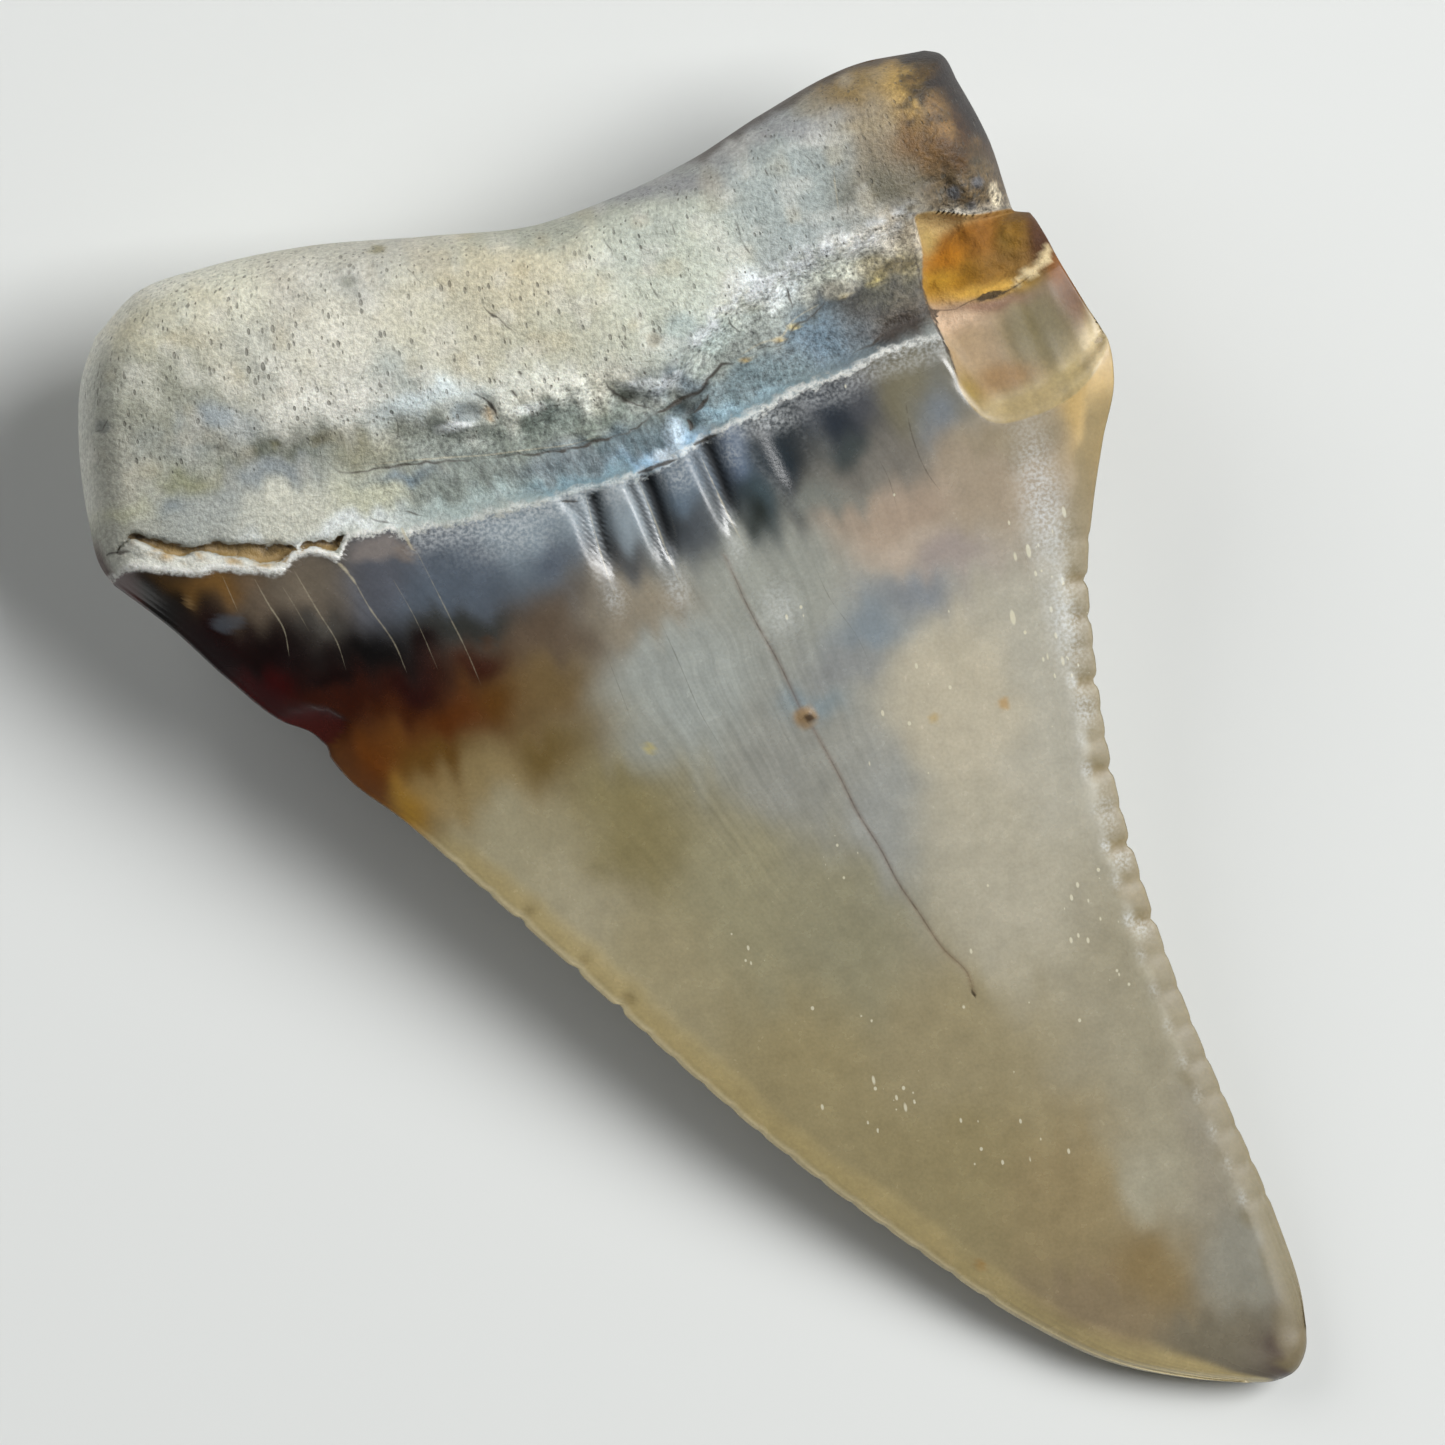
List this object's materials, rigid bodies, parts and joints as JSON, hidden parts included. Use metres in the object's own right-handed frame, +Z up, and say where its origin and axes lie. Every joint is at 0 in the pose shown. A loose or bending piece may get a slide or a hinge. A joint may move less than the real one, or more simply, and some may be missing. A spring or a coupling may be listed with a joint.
{
  "type": "fossil shark tooth",
  "caption": "Fossil great white shark tooth lying flat side up: porous root, folded neck, triangular enamel crown with worn serrated edges and a broken shoulder.",
  "frame": {"origin": "under the middle of the tooth's box, on the surface that it lies on", "axes": "+X along the base of the crown, +Y from the tip towards the root, +Z up, out of the flat lip side"},
  "size_m": [0.0338, 0.0446, 0.0096],
  "materials": {
    "fossil_tooth": "satin to glossy enamel crown, stained grey, beige, amber and dark brown, over a matt porous cream-grey root"
  },
  "bodies": {
    "root": {"tooth": "fossil_tooth"}
  },
  "joints": []
}
